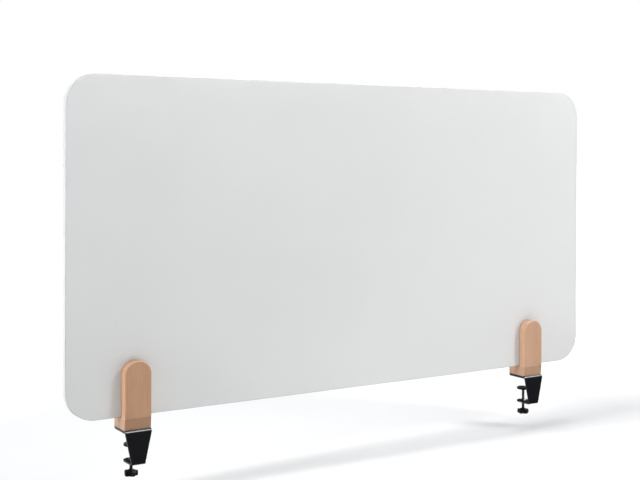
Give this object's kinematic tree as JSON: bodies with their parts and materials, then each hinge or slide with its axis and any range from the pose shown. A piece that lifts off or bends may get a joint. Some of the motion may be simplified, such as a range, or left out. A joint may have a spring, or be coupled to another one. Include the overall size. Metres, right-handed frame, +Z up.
{
  "type": "desk privacy panel",
  "caption": "White desk-edge privacy screen that drops into slotted beech holders, each fixed on a black steel screw clamp with a star knob.",
  "frame": {"origin": "on the desk's top surface, under the middle of the left holder and in the panel's mid-plane", "axes": "+X along the panel to the right as seen from the desk's edge, +Y in over the desk, +Z up"},
  "size_m": [1.2, 0.052, 0.7085],
  "materials": {
    "lacquered_sheet": "smooth glossy white enamel",
    "edging": "matt white plastic edging",
    "core_board": "raw fibreboard",
    "beech": "sanded beech under clear matt lacquer",
    "dowel_beech": "raw turned beech",
    "felt": "grey wool felt",
    "black_steel": "satin black powder coat",
    "zinc_steel": "zinc-plated steel",
    "thread_steel": "oiled dark steel thread",
    "pad_rubber": "black rubber",
    "knob_plastic": "moulded black plastic, finely textured"
  },
  "bodies": {
    "desk_holders": {"left_base_block": "beech", "left_front_cheek": "beech", "left_rear_cheek": "beech", "left_dowels": "dowel_beech", "left_slot_felts": "felt", "left_bracket": "black_steel", "left_wood_screws": "zinc_steel", "left_desk_pad": "pad_rubber", "left_thread_bush": "zinc_steel", "right_base_block": "beech", "right_front_cheek": "beech", "right_rear_cheek": "beech", "right_dowels": "dowel_beech", "right_slot_felts": "felt", "right_bracket": "black_steel", "right_wood_screws": "zinc_steel", "right_desk_pad": "pad_rubber", "right_thread_bush": "zinc_steel"},
    "panel": {"panel_core": "core_board", "panel_front_sheet": "lacquered_sheet", "panel_back_sheet": "lacquered_sheet", "panel_edging": "edging"},
    "left_pad": {"left_pressure_disc": "black_steel", "left_disc_facing": "pad_rubber"},
    "left_screw": {"left_clamp_screw": "thread_steel", "left_star_knob": "knob_plastic", "left_retaining_clip": "zinc_steel"},
    "right_pad": {"right_pressure_disc": "black_steel", "right_disc_facing": "pad_rubber"},
    "right_screw": {"right_clamp_screw": "thread_steel", "right_star_knob": "knob_plastic", "right_retaining_clip": "zinc_steel"}
  },
  "joints": [
    {"name": "panel_lift", "type": "slide", "parent": "desk_holders", "child": "panel", "axis": [0, 0, 1], "range_m": [0, 0.1]},
    {"name": "left_pad_travel", "type": "slide", "parent": "desk_holders", "child": "left_pad", "axis": [0, 0, 1], "range_m": [-0.022, 0.015]},
    {"name": "left_screw_turn", "type": "hinge", "parent": "left_pad", "child": "left_screw", "pos_m": [0, 0.007, -0.06], "axis": [0, 0, 1], "range_deg": [-7920, 5400]},
    {"name": "right_pad_travel", "type": "slide", "parent": "desk_holders", "child": "right_pad", "axis": [0, 0, 1], "range_m": [-0.022, 0.015]},
    {"name": "right_screw_turn", "type": "hinge", "parent": "right_pad", "child": "right_screw", "pos_m": [0.926, 0.007, -0.06], "axis": [0, 0, 1], "range_deg": [-7920, 5400]}
  ],
  "couplings": [
    {"joint": "left_pad_travel", "follows": "left_screw_turn", "m_per_rad": 0.00015915},
    {"joint": "right_pad_travel", "follows": "right_screw_turn", "m_per_rad": 0.00015915}
  ]
}
